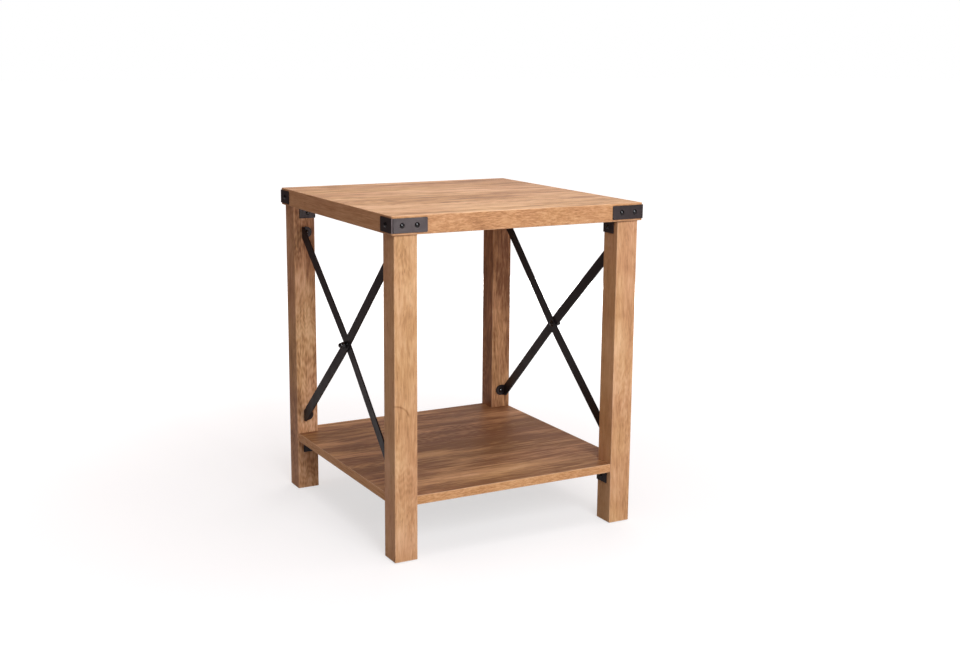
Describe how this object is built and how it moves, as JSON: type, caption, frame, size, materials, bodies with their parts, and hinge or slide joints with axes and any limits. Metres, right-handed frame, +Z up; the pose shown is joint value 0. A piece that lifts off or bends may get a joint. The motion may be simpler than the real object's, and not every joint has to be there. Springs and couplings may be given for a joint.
{
  "type": "lamp table",
  "caption": "Square rustic oak lamp table with a thick top, straight legs, a lower shelf, black steel corner plates and crossed flat-bar side braces.",
  "frame": {"origin": "on the floor under the middle of the top", "axes": "+Z up, front towards -Y, +X to the right as seen from the front"},
  "size_m": [0.4702, 0.4832, 0.56],
  "materials": {
    "top_oak": "satin honey oak, grain along X",
    "shelf_oak": "satin honey oak with darker streaks, grain along X",
    "leg_oak": "satin honey oak, upright grain",
    "dowel_wood": "plain turned hardwood",
    "black_steel": "satin black powder coat",
    "black_fasteners": "black finish, smoother than the plates",
    "glide_plastic": "dark matte plastic"
  },
  "bodies": {
    "root": {"brace_bolt_left": "black_fasteners", "brace_bolt_right": "black_fasteners", "brace_bolt_washers": "black_fasteners", "brace_cap_nut_left": "black_fasteners", "brace_cap_nut_right": "black_fasteners", "brace_end_screws": "black_fasteners", "brace_left_inner": "black_steel", "brace_left_outer": "black_steel", "brace_right_inner": "black_steel", "brace_right_outer": "black_steel", "corner_plate_back_left": "black_steel", "corner_plate_back_right": "black_steel", "corner_plate_front_left": "black_steel", "corner_plate_front_right": "black_steel", "corner_plate_screws": "black_fasteners", "foot_glide_back_left": "glide_plastic", "foot_glide_back_right": "glide_plastic", "foot_glide_front_left": "glide_plastic", "foot_glide_front_right": "glide_plastic", "leg_back_left": "leg_oak", "leg_back_right": "leg_oak", "leg_dowels": "dowel_wood", "leg_front_left": "leg_oak", "leg_front_right": "leg_oak", "shelf_bracket_back_left": "black_steel", "shelf_bracket_back_right": "black_steel", "shelf_bracket_front_left": "black_steel", "shelf_bracket_front_right": "black_steel", "shelf_bracket_screws": "black_fasteners", "shelf_panel": "shelf_oak", "top_bracket_back_left": "black_steel", "top_bracket_back_right": "black_steel", "top_bracket_front_left": "black_steel", "top_bracket_front_right": "black_steel", "top_bracket_screws": "black_fasteners", "top_panel": "top_oak"}
  },
  "joints": []
}
